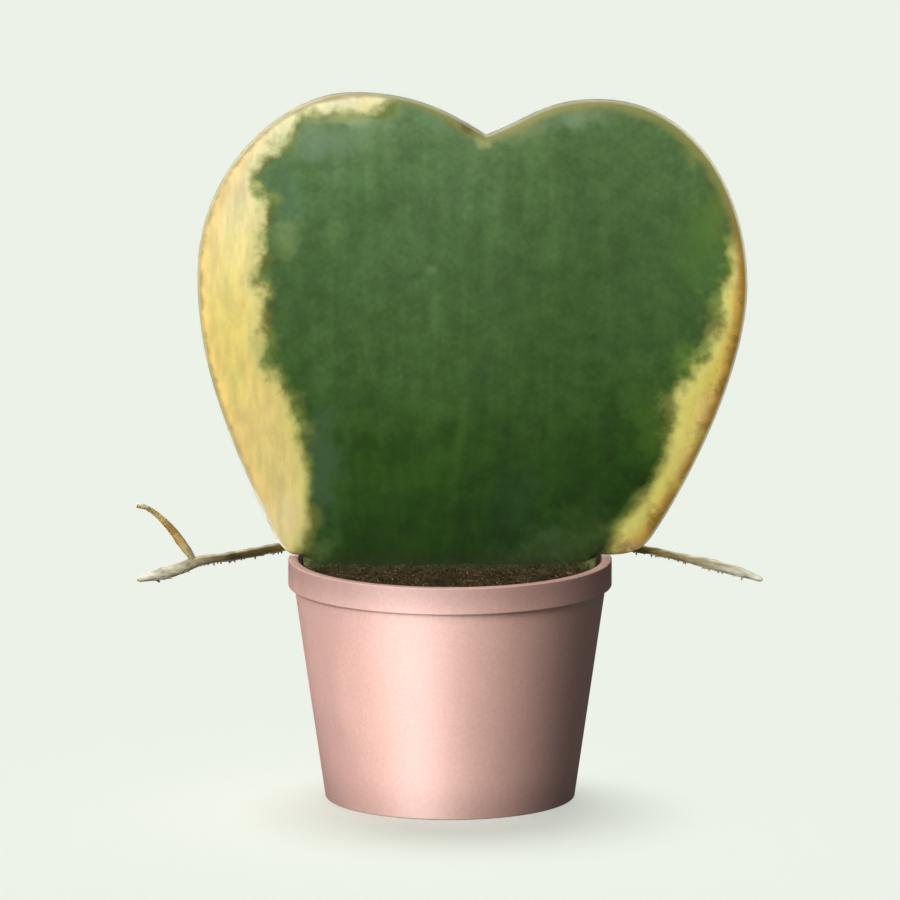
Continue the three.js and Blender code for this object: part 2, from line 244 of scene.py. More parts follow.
class Finish:
    """A material that is wired up node by node. Each call adds a node and gives back the output asked for."""

    def __init__(self, name):
        self.material = bpy.data.materials.new(name)
        self.material.use_nodes = True
        self.tree = self.material.node_tree
        self.shader = self.tree.nodes["Principled BSDF"]

    def put(self, socket, value):
        if isinstance(value, bpy.types.NodeSocket):
            self.tree.links.new(value, socket)
        else:
            socket.default_value = value

    def add(self, kind, inputs, output=0, **settings):
        made = self.tree.nodes.new("ShaderNode" + kind)
        for key, value in settings.items():
            setattr(made, key, value)
        for key, value in inputs.items():
            self.put(made.inputs[key], value)
        return made.outputs[output]

    def set(self, **inputs):
        for key, value in inputs.items():
            self.put(self.shader.inputs[key.replace("_", " ")], value)

    def place(self, stretch=(1, 1, 1)):
        """The point on the piece, in metres. A stretch below 1 makes a pattern run longer that way."""
        where = self.add("TexCoord", {}, "Object")
        return where if stretch == (1, 1, 1) else self.add("Mapping", {"Vector": where, "Scale": stretch})

    def axis(self, name):
        return self.add("SeparateXYZ", {"Vector": self.place()}, name)

    def attribute(self, name):
        return self.add("Attribute", {}, "Fac", attribute_name=name)

    def noise(self, scale, detail=3, roughness=0.55, stretch=(1, 1, 1)):
        inputs = {"Vector": self.place(stretch), "Scale": scale, "Detail": detail, "Roughness": roughness}
        return self.add("TexNoise", inputs, "Fac")

    def cells(self, scale):
        return self.add("TexVoronoi", {"Vector": self.place(), "Scale": scale}, "Distance")

    def math(self, operation, first, second=0.0):
        return self.add("Math", {0: first, 1: second}, operation=operation)

    def remap(self, value, low, high, new_low=0.0, new_high=1.0):
        inputs = {"Value": value, "From Min": low, "From Max": high, "To Min": new_low, "To Max": new_high}
        return self.add("MapRange", inputs, interpolation_type="SMOOTHSTEP")

    def mix(self, share, first, second, blend="MIX"):
        inputs = {0: share, 6: first, 7: second}
        return self.add("Mix", inputs, 2, data_type="RGBA", blend_type=blend)

    def shade(self, colour, light):
        """The colour made darker or lighter by a factor."""
        return self.mix(1.0, colour, light, "MULTIPLY")

    def patch(self, x, z, reach, tall, strength):
        """The share of a soft-edged cloud round a place on the leaf, in millimetres."""
        centre = (x * MM, 0, z / tall * MM)
        place = self.place((1, 0, 1 / tall))
        gap = self.add("VectorMath", {0: place, 1: centre}, "Value", operation="DISTANCE")
        tear = 0.25 * reach * MM
        torn = self.math("ADD", gap, self.remap(self.noise(260), 0.3, 0.7, -tear, tear))
        return self.remap(torn, 0, reach * MM, strength, 0)

    def ramp(self, value, stops):
        made = self.tree.nodes.new("ShaderNodeValToRGB")
        self.put(made.inputs["Fac"], value)
        points = made.color_ramp.elements
        while len(points) < len(stops):
            points.new(0.5)
        for point, (where, colour) in zip(points, stops):
            point.position = where
            point.color = colour
        return made.outputs["Color"]

    def bump(self, height, distance, strength=1.0, below=None):
        inputs = {"Height": height, "Distance": distance, "Strength": strength}
        if below is not None:
            inputs["Normal"] = below
        return self.add("Bump", inputs)


# ---------------------------------------------------------------- finishes

def pot_ware():
    """Satin pink glaze on clay: cloudy, finely grained and a little pearly. Painted shade darkens the band
    and the foot, and painted light brightens the upper body and the left side.
    """
    ware = Finish("pot_ware")
    clouds = ware.noise(55, detail=4, stretch=(1, 1, 0.6))
    drift = ware.noise(24, detail=2, stretch=(1, 1, 0.5))
    grain = ware.noise(1500, detail=2)
    colour = ware.mix(ware.remap(clouds, 0.3, 0.7), tint(209, 164, 154), tint(221, 177, 164))
    colour = ware.mix(ware.remap(drift, 0.4, 0.65, 0, 0.5), colour, tint(226, 176, 158))
    colour = ware.mix(ware.remap(grain, 0.3, 0.7, 0, 0.2), colour, tint(178, 132, 124))
    height = ware.axis("Z")
    # Painted shade at the top of the pot: the band's side is up to 43 % darker and the lip's top 18 % darker.
    upright = ware.add("SeparateXYZ", {"Vector": ware.add("NewGeometry", {}, "Normal")}, "Z")
    band_painted_shade = ware.math("MULTIPLY", ware.remap(height, POT_HEIGHT - 1.6 * BAND_HEIGHT, POT_HEIGHT),
                      ware.remap(upright, 0.3, 0.8, 0.43, 0.18))
    colour = ware.shade(colour, ware.math("SUBTRACT", 1.0, band_painted_shade))
    # Painted shade towards the foot, painted light on the upper body, and painted light on the left with
    # painted shade on the right.
    colour = ware.shade(colour, ware.remap(height, 0, 10 * MM, 0.76, 1))
    colour = ware.shade(colour, ware.remap(height, 12 * MM, 34 * MM, 0.98, 1.03))
    colour = ware.shade(colour, ware.remap(ware.axis("X"), -24 * MM, 24 * MM, 1.03, 0.97))
    dimples = ware.bump(grain, 0.05 * MM, 0.4)
    ware.set(Base_Color=colour, Roughness=ware.remap(clouds, 0.3, 0.7, 0.5, 0.58), Metallic=0.1,
             IOR=1.6, Normal=ware.bump(clouds, 0.2 * MM, 0.3, dimples))
    return ware.material


def potting_mix():
    """Dark moist mix of peat, coir and composted bark."""
    mix = Finish("potting_mix")
    lumps = mix.noise(420, detail=6, roughness=0.65)
    tone = mix.math("ADD", mix.attribute("tone"), mix.remap(lumps, 0.3, 0.7, -0.25, 0.25))
    colour = mix.ramp(tone, [(0.0, tint(28, 23, 11)), (0.35, tint(52, 41, 23)), (0.7, tint(76, 60, 35)),
                             (1.0, tint(106, 82, 50))])
    grit = mix.cells(1500)
    colour = mix.mix(mix.remap(grit, 0.02, 0.14, 0.4, 0), colour, tint(106, 88, 56))
    beside = mix.math("ABSOLUTE", mix.axis("Y"))
    aside = mix.math("ABSOLUTE", mix.axis("X"))
    colour = mix.mix(mix.remap(beside, 3 * MM, 9 * MM, 0.5, 0), colour, tint(48, 66, 32))
    moss = mix.math("MULTIPLY", mix.remap(aside, 25 * MM, 28.5 * MM, 0, 0.85),
                    mix.remap(beside, 7 * MM, 3 * MM))
    colour = mix.mix(moss, colour, mix.shade(tint(92, 98, 52), mix.remap(lumps, 0.3, 0.7, 0.6, 1.25)))
    mix.set(Base_Color=colour, Roughness=0.9, Specular_IOR_Level=0.15,
            Normal=mix.bump(mix.noise(1500, detail=5), 0.3 * MM, 0.8))
    return mix.material


def sand_grain():
    """Pale tan specks of sand and bark dust."""
    sand = Finish("sand_grain")
    tone = sand.attribute("tone")
    colour = sand.ramp(tone, [(0.0, tint(84, 64, 40)), (0.6, tint(126, 102, 68)), (1.0, tint(176, 152, 112))])
    sand.set(Base_Color=colour, Roughness=0.6, Normal=sand.bump(sand.noise(3000), 0.05 * MM, 0.5))
    return sand.material


def leaf_skin():
    """The leaf: green that darkens towards the foot, a soft ragged cream margin and a brown rim."""
    leaf = Finish("leaf_skin")
    height = leaf.axis("Z")
    side = leaf.axis("X")
    inside = leaf.attribute("green")
    rim = leaf.attribute("rim")
    vein = leaf.attribute("midrib")
    clouds = leaf.noise(70, detail=4)
    streaks = leaf.noise(230, detail=2, stretch=(1, 1, 0.09))

    # Green, darkest at the foot and darker and yellower on the right: the dark foot is partly the leaf's own
    # colour and partly painted shade by the mix, the pale top is partly a painted sheen, and the darker,
    # yellower right is painted shade.
    level = leaf.math("ADD", height, leaf.remap(clouds, 0.3, 0.7, -4 * MM, 4 * MM))
    level = leaf.math("ADD", level, leaf.remap(side, 10 * MM, 34 * MM, 0, -6 * MM))
    share = leaf.add("MapRange", {"Value": level, "From Min": 46 * MM, "From Max": 142 * MM})
    green = leaf.ramp(share, [(0.0, tint(26, 46, 10)), (0.1, tint(29, 54, 11)), (0.19, tint(37, 65, 15)),
                              (0.27, tint(42, 70, 20)), (0.36, tint(51, 79, 32)), (0.52, tint(62, 90, 45)),
                              (0.69, tint(70, 98, 55)), (0.85, tint(82, 110, 67)), (1.0, tint(104, 126, 84))])
    # Painted shade: the right side is made darker and yellower.
    right = leaf.math("MULTIPLY", leaf.remap(side, 3 * MM, 14 * MM),
                      leaf.remap(height, 50 * MM, 72 * MM, 0.2, 1))
    green = leaf.mix(right, green, (0.76, 0.79, 0.68, 1), "MULTIPLY")
    depth = leaf.remap(height, 60 * MM, 120 * MM, 0.23, 0.13)
    mottle = leaf.remap(leaf.noise(230, detail=5, roughness=0.6), 0.3, 0.7, -1, 1)
    green = leaf.shade(green, leaf.math("ADD", leaf.math("MULTIPLY", mottle, depth), 1.0))
    green = leaf.shade(green, leaf.remap(streaks, 0.4, 0.8, 0.96, 1.2))
    green = leaf.shade(green, leaf.remap(leaf.noise(900, detail=3), 0.3, 0.7, 0.93, 1.07))
    # Painted light just left of the midrib and painted shade just right of it, on the lower half of the leaf.
    lower = leaf.remap(height, 92 * MM, 82 * MM)
    pale = leaf.remap(leaf.math("ABSOLUTE", leaf.math("ADD", vein, 0.9)), 0.2, 1.8, 0.15, 0)
    dark = leaf.remap(leaf.math("ABSOLUTE", leaf.math("SUBTRACT", vein, 1.8)), 0.6, 3.2, 0.16, 0)
    green = leaf.shade(green, leaf.math("ADD", 1.0, leaf.math("MULTIPLY", pale, lower)))
    green = leaf.shade(green, leaf.math("SUBTRACT", 1.0, leaf.math("MULTIPLY", dark, lower)))
    for x, z, reach, tall, strength, hue in LEAF_PATCHES:
        green = leaf.mix(leaf.patch(x, z, reach, tall, strength), green, hue)

    # Cream, warmer by the rim, paler beside the green and at the top, duller and more golden on the right.
    rise = leaf.remap(height, 50 * MM, 136 * MM)
    cream = leaf.ramp(rise, [(0.0, tint(197, 185, 134)), (0.06, tint(206, 188, 120)),
                             (0.17, tint(211, 192, 118)), (0.32, tint(221, 203, 118)),
                             (0.5, tint(216, 197, 112)), (0.62, tint(219, 201, 119)),
                             (0.8, tint(231, 215, 142)), (0.92, tint(224, 214, 158)),
                             (1.0, tint(219, 213, 180))])
    ends = leaf.math("MULTIPLY", leaf.remap(height, 50 * MM, 62 * MM), leaf.remap(height, 138 * MM, 126 * MM))
    warm = leaf.math("MULTIPLY", leaf.remap(rim, 0.8, 4.5, 0.6, 0), ends)
    cream = leaf.mix(warm, cream, tint(232, 197, 118))
    golden = leaf.mix(leaf.remap(rim, 1.5, 4.5), tint(186, 153, 71), tint(188, 178, 76))
    cream = leaf.mix(leaf.remap(side, 15 * MM, 30 * MM, 0, 0.9), cream, golden)
    blush = leaf.noise(130, detail=4, stretch=(1, 1, 0.35))
    cream = leaf.mix(leaf.remap(blush, 0.42, 0.66, 0, 0.42), cream, tint(218, 182, 126))
    grain = leaf.noise(480, detail=3, stretch=(1, 1, 0.3))
    cream = leaf.shade(cream, leaf.remap(grain, 0.3, 0.7, 0.87, 1.09))
    tips = leaf.mix(leaf.remap(height, 70 * MM, 125 * MM), tint(200, 194, 110), tint(222, 219, 152))
    cream = leaf.mix(leaf.remap(inside, -3.4, -1.4, 0, 0.5), cream, tips)

    # The soft ragged edge between them: blunt teeth of two sizes, calmer towards the foot, with olive of
    # uneven width and darker blots behind them.
    calm = leaf.remap(height, 62 * MM, 92 * MM, 0.4, 1)
    teeth = leaf.math("ADD", leaf.remap(leaf.noise(170, detail=1), 0.3, 0.7, -1.1, 1.1),
                      leaf.remap(leaf.noise(520, detail=2), 0.3, 0.7, -0.55, 0.55))
    edge = leaf.math("ADD", inside, leaf.math("MULTIPLY", teeth, calm))
    olive = leaf.mix(leaf.remap(leaf.noise(150, detail=2), 0.4, 0.6), tint(130, 142, 72), tint(100, 112, 44))
    band = leaf.remap(leaf.noise(90, detail=2), 0.35, 0.65, 2.2, 5.0)
    green = leaf.mix(leaf.remap(leaf.math("DIVIDE", edge, band), 0, 1, 0.85, 0), green, olive)
    shaded = leaf.math("MULTIPLY", leaf.remap(height, 134 * MM, 128 * MM), leaf.remap(edge, 0.4, 3, 0.75, 0))
    blots = leaf.math("MULTIPLY", leaf.remap(leaf.noise(210, detail=2), 0.5, 0.66), shaded)
    green = leaf.mix(blots, green, tint(92, 88, 38))
    fade = leaf.remap(height, 70 * MM, 100 * MM, -1.5, -2.6)
    colour = leaf.mix(leaf.add("MapRange", {"Value": edge, "From Min": fade, "From Max": 1.3},
                               interpolation_type="SMOOTHSTEP"), cream, green)

    # The rim: brown shading inside it, tan on the left lobe, olive over the crowns and golden down the right,
    # with darker blots on the right, and a fine pale thread along the very edge. Painted light makes the
    # brown and the thread paler low on the left and the thread paler down the right, and painted shade makes
    # the thread darker over the crowns.
    reach = leaf.remap(side, -14 * MM, 10 * MM, 1.45, 2.9)
    strokes = leaf.noise(420, detail=3, stretch=(0.35, 1, 1))
    frayed = leaf.math("ADD", rim, leaf.remap(strokes, 0.3, 0.7, -0.3, 0.3))
    brown = leaf.mix(leaf.remap(height, 108 * MM, 122 * MM), tint(140, 104, 36), tint(126, 124, 70))
    low = leaf.remap(height, 84 * MM, 58 * MM)
    lowest_painted_light = leaf.remap(height, 65 * MM, 59 * MM)
    left_brown = leaf.mix(low, tint(156, 140, 88), tint(186, 168, 122))
    left_brown = leaf.mix(lowest_painted_light, left_brown, tint(206, 192, 156))
    brown = leaf.mix(leaf.remap(side, -16 * MM, -6 * MM), left_brown, brown)
    worn = leaf.math("MULTIPLY", leaf.remap(leaf.math("DIVIDE", frayed, reach), 0.2, 1, 0.92, 0),
                     leaf.remap(height, 50 * MM, 55 * MM))
    colour = leaf.mix(worn, colour, brown)
    scuffs = leaf.math("MULTIPLY", leaf.remap(leaf.noise(240, detail=4, roughness=0.65), 0.5, 0.64),
                       leaf.math("MULTIPLY", leaf.remap(rim, 1, 6, 0.6, 0),
                                 leaf.remap(side, 18 * MM, 32 * MM)))
    scuffs = leaf.math("MULTIPLY", scuffs, leaf.remap(inside, 1, -2, 0.3, 1))
    colour = leaf.mix(scuffs, colour, tint(108, 90, 34))
    # A painted highlight on the cream, low on the right.
    shine = leaf.math("MULTIPLY", leaf.patch(43.6, 77, 8, 2.4, 0.8), leaf.remap(inside, 0, -2))
    colour = leaf.mix(shine, colour, tint(204, 198, 100))
    bruise = leaf.math("MULTIPLY", leaf.remap(leaf.noise(200, detail=3), 0.46, 0.6),
                       leaf.math("MULTIPLY", leaf.remap(rim, 0.6, 2.6, 0.8, 0),
                                 leaf.patch(1, 136, 9, 1, 1.0)))
    colour = leaf.mix(bruise, colour, tint(92, 78, 34))
    # Painted light and shade in the thread: paler low down and down the right, darker over the crowns.
    left_thread_and_painted_light = leaf.mix(low, tint(188, 183, 152), tint(222, 214, 186))
    left_thread_and_painted_light = leaf.mix(lowest_painted_light, left_thread_and_painted_light, tint(248, 242, 222))
    thread_and_painted_light = leaf.mix(leaf.remap(side, -30 * MM, -20 * MM), left_thread_and_painted_light, tint(160, 160, 138))
    thread_and_painted_light = leaf.mix(leaf.remap(side, 34 * MM, 50 * MM), thread_and_painted_light,
                      leaf.mix(low, tint(212, 206, 176), tint(232, 226, 198)))
    fringe = leaf.math("MULTIPLY", leaf.remap(rim, 0.1, 0.7, 0.85, 0), leaf.remap(height, 49.6 * MM, 51 * MM))
    colour = leaf.mix(fringe, colour, thread_and_painted_light)

    # The foot is darker olive just above the mix.
    foot_dark_level = leaf.math("ADD", height, leaf.remap(leaf.noise(600, detail=4), 0.3, 0.7, -1.2 * MM, 1.2 * MM))
    colour = leaf.mix(leaf.remap(foot_dark_level, 47.4 * MM, 50 * MM, 0.7, 0), colour, tint(42, 46, 22))

    # The back is paler and duller than the face.
    colour = leaf.mix(leaf.math("MULTIPLY", leaf.attribute("back"), 0.35), colour, tint(150, 166, 116))

    pores = leaf.noise(1700, detail=2)
    normal = leaf.bump(pores, 0.05 * MM, 0.35)
    normal = leaf.bump(leaf.noise(150, detail=3), 0.3 * MM, 0.3, normal)
    leaf.set(Base_Color=colour, Roughness=leaf.remap(clouds, 0.3, 0.7, 0.48, 0.6),
             Specular_IOR_Level=0.12, Normal=normal)
    return leaf.material


def runner_bark(name, stops):
    """Thin downy bark that changes colour from root to tip, with painted light making it paler above and
    beneath.
    """
    bark = Finish(name)
    fleck = bark.noise(800, detail=4, stretch=(0.3, 1, 1))
    colour = bark.ramp(bark.attribute("along"), stops)
    facing = bark.add("SeparateXYZ", {"Vector": bark.add("NewGeometry", {}, "Normal")}, "Z")
    # Painted light: paler where the bark faces up and where it faces down.
    top_and_underside_painted_light = bark.math("MAXIMUM", bark.remap(facing, 0.5, 1.0, 0, 0.75),
                          bark.remap(facing, -0.4, -1.0, 0, 0.5))
    colour = bark.mix(top_and_underside_painted_light, colour, tint(196, 190, 164))
    colour = bark.shade(colour, bark.remap(fleck, 0.35, 0.68, 0.8, 1.25))
    colour = bark.shade(colour, bark.remap(bark.noise(420, detail=3), 0.45, 0.7, 1.1, 0.75))
    bark.set(Base_Color=colour, Roughness=0.82, Specular_IOR_Level=0.15, Sheen_Weight=0.25,
             Sheen_Roughness=0.4, Normal=bark.bump(fleck, 0.18 * MM, 0.6))
    return bark.material


# ---------------------------------------------------------------- making

def add_piece(name, bm, finish, slot, *nodes):
    """Turns a bmesh into a named piece on the plant's one body, standing for the CAD nodes given."""
    bmesh.ops.recalc_face_normals(bm, faces=bm.faces)
    mesh = bpy.data.meshes.new(name)
    bm.to_mesh(mesh)
    bm.free()
    mesh.shade_smooth()
    mesh.materials.append(finish)
    piece = bpy.data.objects.new(name, mesh)
    bpy.context.scene.collection.objects.link(piece)
    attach(piece, "root")
    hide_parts(*nodes)
    return piece


def turned(profile, steps, closed):
    """A bmesh of (radius, height) points turned once round the pot's axis."""
    bm = bmesh.new()
    points = [bm.verts.new((radius, 0, height)) for radius, height in profile]
    ends = points[1:] + points[:1] if closed else points[1:]
    lines = [bm.edges.new(pair) for pair in zip(points, ends)]
    bmesh.ops.spin(bm, geom=points + lines, cent=(0, 0, 0), axis=(0, 0, 1), angle=2 * math.pi,
                   steps=steps, use_merge=True)
    bmesh.ops.remove_doubles(bm, verts=bm.verts, dist=1e-6)
    bmesh.ops.recalc_face_normals(bm, faces=bm.faces)
    return bm


def inner_radius(height):
    """The pot's inner wall radius at a height."""
    shoulder = POT_HEIGHT - BAND_HEIGHT
    body = FOOT_RADIUS + (SHOULDER_RADIUS - FOOT_RADIUS) * height / shoulder - WALL
    return min(body, MOUTH_RADIUS)


def make_pot():
    shoulder = POT_HEIGHT - BAND_HEIGHT
    foot_inner = FOOT_RADIUS - FOOT_RING_WIDTH
    bm = turned([
        (DRAIN_RADIUS, FOOT_RECESS),
        (foot_inner - FOOT_RECESS / 2, FOOT_RECESS),
        (foot_inner, 0),
        (FOOT_RADIUS, 0),
        (SHOULDER_RADIUS, shoulder),
        (RIM_RADIUS, shoulder),
        (RIM_RADIUS, POT_HEIGHT),
        (MOUTH_RADIUS, POT_HEIGHT),
        (inner_radius(shoulder), shoulder),
        (inner_radius(FLOOR_TOP + WALL), FLOOR_TOP + WALL),
        (inner_radius(FLOOR_TOP) - WALL, FLOOR_TOP),
        (DRAIN_RADIUS, FLOOR_TOP),
    ], POT_STEPS, closed=True)
    corners = [edge for edge in bm.edges if edge.calc_face_angle(0) > math.radians(20)]
    bmesh.ops.bevel(bm, geom=corners, offset=EDGE_ROUND, affect="EDGES", segments=4, profile=0.5,
                    material=-1)
    return add_piece("pot_shell", bm, pot_ware(), "pot_ware", "pot")


def soil_height(x, y):
    """How high the mix lies at a place."""
    height = SOIL_LEVEL + SOIL_MOUND * math.exp(-((y / SOIL_MOUND_SPREAD) ** 2))
    out = (abs(x) - SOIL_HEAP_PLACE) / SOIL_HEAP_WIDTH
    height += SOIL_HEAP * math.exp(-(out ** 2) - (y / SOIL_HEAP_DEPTH) ** 2)
    for swing, quickness, layer in SOIL_UNEVENNESS:
        height += swing * noise.noise(Vector((x, y, layer)) * quickness)
    return height


def make_soil_bed(finish):
    """The filling, whose tone drifts darker and paler."""
    bottom = FLOOR_TOP + SOIL_GAP
    top = inner_radius(SOIL_LEVEL) - SOIL_GAP
    profile = [
        (0, bottom),
        (inner_radius(FLOOR_TOP) - WALL - SOIL_GAP, bottom),
        (inner_radius(FLOOR_TOP + WALL) - SOIL_GAP, FLOOR_TOP + WALL + SOIL_GAP),
        (inner_radius(POT_HEIGHT - BAND_HEIGHT) - SOIL_GAP, POT_HEIGHT - BAND_HEIGHT),
        (top, SOIL_LEVEL - SOIL_EDGE_DROP),
    ]
    profile += [(top * ring / SOIL_RINGS, SOIL_LEVEL) for ring in range(SOIL_RINGS, -1, -1)]
    bm = turned(profile, SOIL_STEPS, closed=False)
    tone = bm.verts.layers.float.new("tone")
    for vert in bm.verts:
        if vert.co.z > SOIL_LEVEL - 0.1 * MM:
            vert.co.z = soil_height(vert.co.x, vert.co.y)
        vert[tone] = 0.32 + 0.3 * noise.noise(vert.co * 300)
    add_piece("soil_bed", bm, finish, "potting_mix", "soil")


def add_lump(bm, draw, sizes, shape, tones, lift):
    """A small lump at a random place on the mix, with its own size, turn and tone."""
    angle = draw.uniform(0, 2 * math.pi)
    out = (inner_radius(SOIL_LEVEL) - 1.2 * MM) * math.sqrt(draw.random())
    x, y = out * math.cos(angle), out * math.sin(angle)
    size = sizes[0] + (sizes[1] - sizes[0]) * draw.random() ** 2
    turn = Vector([draw.uniform(-1, 1) for _ in range(3)])
    spin = Matrix.Rotation(draw.uniform(0, 2 * math.pi), 4, turn.normalized())
    form = Matrix.Diagonal((*[side * draw.uniform(0.8, 1.2) for side in shape], 1))
    lie = Matrix.Translation((x, y, soil_height(x, y) + size * lift))
    made = bmesh.ops.create_icosphere(bm, subdivisions=1, radius=size, matrix=lie @ spin @ form)
    shade = draw.uniform(*tones)
    tone = bm.verts.layers.float["tone"]
    for vert in made["verts"]:
        vert[tone] = shade


def scattered(draw, count, *details):
    """A bmesh of lumps strewn over the mix, made a few at a time because a small bmesh grows faster."""
    strewn = bmesh.new()
    strewn.verts.layers.float.new("tone")
    for first in range(0, count, LUMPS_AT_ONCE):
        few = bmesh.new()
        few.verts.layers.float.new("tone")
        for _ in range(min(LUMPS_AT_ONCE, count - first)):
            add_lump(few, draw, *details)
        carrier = bpy.data.meshes.new("few_lumps")
        few.to_mesh(carrier)
        few.free()
        strewn.from_mesh(carrier)
        bpy.data.meshes.remove(carrier)
    return strewn


def make_soil():
    finish = potting_mix()
    make_soil_bed(finish)
    draw = random.Random(7)
    add_piece("soil_crumbs", scattered(draw, *CRUMBS), finish, "potting_mix", "soil")
    add_piece("bark_chips", scattered(draw, *BARK_CHIPS), finish, "potting_mix", "soil")
    add_piece("sand_grains", scattered(draw, *SAND_GRAINS), sand_grain(), "potting_mix", "soil")


def traced(start, curves, steps=20):
    """Points along a chain of curves from start, as an array."""
    points = [Vector(start)]
    for curve in curves:
        points += interpolate_bezier(points[-1], *[Vector(point) for point in curve], steps + 1)[1:]
    return np.array([tuple(point) for point in points])


def spaced(line, count):
    """Points at equal steps along a line that ends where it starts."""
    steps = np.hypot(*np.diff(line, axis=0).T)
    along = np.concatenate(([0], np.cumsum(steps)))
    places = np.linspace(0, along[-1], count, endpoint=False)
    return np.stack([np.interp(places, along, line[:, axis]) for axis in (0, 1)], axis=1)


def distance_to(line, points):
    """How far each point lies from a line."""
    nearest = np.full(len(points), np.inf)
    for start, end in zip(line[:-1], line[1:]):
        run = end - start
        share = np.clip((points - start) @ run / (run @ run + 1e-12), 0, 1)
        nearest = np.minimum(nearest, np.hypot(*(points - start - share[:, None] * run).T))
    return nearest


def inside_of(line, points):
    """Whether each point lies inside a closed line."""
    inside = np.zeros(len(points), bool)
    for (x0, z0), (x1, z1) in zip(line[:-1], line[1:]):
        spans = (z0 > points[:, 1]) != (z1 > points[:, 1])
        across = x0 + (points[:, 1] - z0) * (x1 - x0) / (z1 - z0 + 1e-12)
        inside ^= spans & (points[:, 0] < across)
    return inside


def midrib_at(height):
    """Where the midrib runs at a height: it curves from the foot to stand upright under the notch."""
    rise = np.clip((height - POT_HEIGHT / MM) / (NOTCH[1] - POT_HEIGHT / MM), 0, 1)
    return MIDRIB_FOOT + (NOTCH[0] - MIDRIB_FOOT) * np.sin(rise * math.pi / 2)


def leaf_bend(x, z):
    """How far back the leaf's middle lies: it leans back and its sides cup forward."""
    pot_top = POT_HEIGHT / MM
    aside = (x - LEAF_CENTRE) / (LEAF_SIDE - LEAF_CENTRE)
    lean = LEAF_LEAN * smooth(z, pot_top, LEAF_TOP)
    return lean - LEAF_CUP * aside ** 2 * smooth(z, pot_top, LEAF_MIDDLE)


def leaf_relief(x, z, out):
    """The leaf's fold along the midrib and its slow swells."""
    fold = MIDRIB_DEPTH * math.exp(-(((x - midrib_at(z)) / MIDRIB_WIDTH) ** 2))
    fold *= smooth(z, POT_HEIGHT / MM, LEAF_MIDDLE) * (1 - out ** 4)
    swell = sum(height * noise.noise(Vector((x, layer, z)) / width) for height, width, layer in LEAF_SWELLS)
    return fold + swell * smooth(z, 50, 70)


def make_leaf():
    """The blade: a sphere whose rings take on the leaf's outline, flattened to its thickness and bent."""
    outline = traced(NOTCH, RIGHT_EDGE + FOOT_EDGE + LEFT_EDGE)
    edge = spaced(outline, LEAF_COLUMNS)
    bm = bmesh.new()
    back = bm.verts.layers.float.new("back")
    bmesh.ops.create_uvsphere(bm, u_segments=LEAF_COLUMNS, v_segments=LEAF_ROWS, radius=1)
    centre = np.array((LEAF_CENTRE, LEAF_MIDDLE))
    for vert in bm.verts:
        out = min(1.0, math.hypot(vert.co.x, vert.co.y))
        turn = math.atan2(vert.co.y, vert.co.x) / (2 * math.pi)
        x, z = centre + (edge[round(turn * LEAF_COLUMNS) % LEAF_COLUMNS] - centre) * out
        fullness = max(0.0, 1 - out ** 8) ** 0.3
        half = math.copysign(LEAF_THICKNESS / 2, -vert.co.z) * fullness
        vert[back] = float(vert.co.z < -0.02)
        vert.co = Vector((x, half + leaf_bend(x, z) + leaf_relief(x, z, out), z)) * MM
    leaf = add_piece("heart_leaf", bm, leaf_skin(), "leaf", "leaf")

    # What the skin reads: how far each point lies inside the green, from the rim and right of the midrib.
    places = np.empty(len(leaf.data.vertices) * 3, np.float32)
    leaf.data.vertices.foreach_get("co", places)
    flat = places.reshape(-1, 3)[:, (0, 2)] / MM
    green = traced(GREEN_START, GREEN_EDGE)
    within = np.where(inside_of(green, flat), 1, -1)
    measures = {
        "green": within * distance_to(green, flat),
        "rim": distance_to(outline, flat),
        "midrib": flat[:, 0] - midrib_at(flat[:, 1]),
    }
    for name, values in measures.items():
        layer = leaf.data.attributes.new(name, "FLOAT", "POINT")
        layer.data.foreach_set("value", values.astype(np.float32))


def smooth_route(route, steps):
    """Points and directions at equal shares of a curve through the route's points."""
    knots = [Vector(point) for point in route]
    knots = [2 * knots[0] - knots[1], *knots, 2 * knots[-1] - knots[-2]]
    line = []
    for before, start, end, after in zip(knots, knots[1:], knots[2:], knots[3:]):
        leaving = start + (end - before) / 6
        arriving = end - (after - start) / 6
        line += interpolate_bezier(start, leaving, arriving, end, 13)[:-1]
    line.append(knots[-2])
    line = np.array([tuple(point) for point in line])
    along = np.concatenate(([0], np.cumsum(np.linalg.norm(np.diff(line, axis=0), axis=1))))
    places = np.linspace(0, along[-1], steps + 1)
    points = np.stack([np.interp(places, along, line[:, axis]) for axis in range(3)], axis=1)
    return points, np.gradient(points, axis=0)


def rolled(bm, route, radii, sides=20, steps=170):
    """A rod of changing radius along a route, rolled up from a flat grid, with uneven bark and round ends."""
    along = bm.verts.layers.float["along"]
    points, ways = smooth_route(route, steps)
    evenly = np.linspace(0, 1, len(radii))
    made = bmesh.ops.create_grid(bm, x_segments=steps, y_segments=sides, size=0.5)
    for vert in made["verts"]:
        share = min(1.0, max(0.0, vert.co.x + 0.5))
        angle = 2 * math.pi * (vert.co.y + 0.5)
        step = round(share * steps)
        way = Vector(ways[step]).normalized()
        beside = way.cross(Vector((0, 1, 0))).normalized()
        behind = beside.cross(way)
        at = Vector(points[step])
        across, deep = math.cos(angle), math.sin(angle)
        bark = BARK_DEPTH * noise.noise((at + Vector((0, across, deep))) / BARK_GRAIN)
        past = max(0.0, abs(2 * share - 1) * steps - steps + END_STEPS) / END_STEPS
        radius = (np.interp(share, evenly, radii) + bark) * math.sqrt(max(0.0, 1 - past ** 2))
        vert.co = (at + (beside * across + behind * deep) * radius) * MM
        vert[along] = share


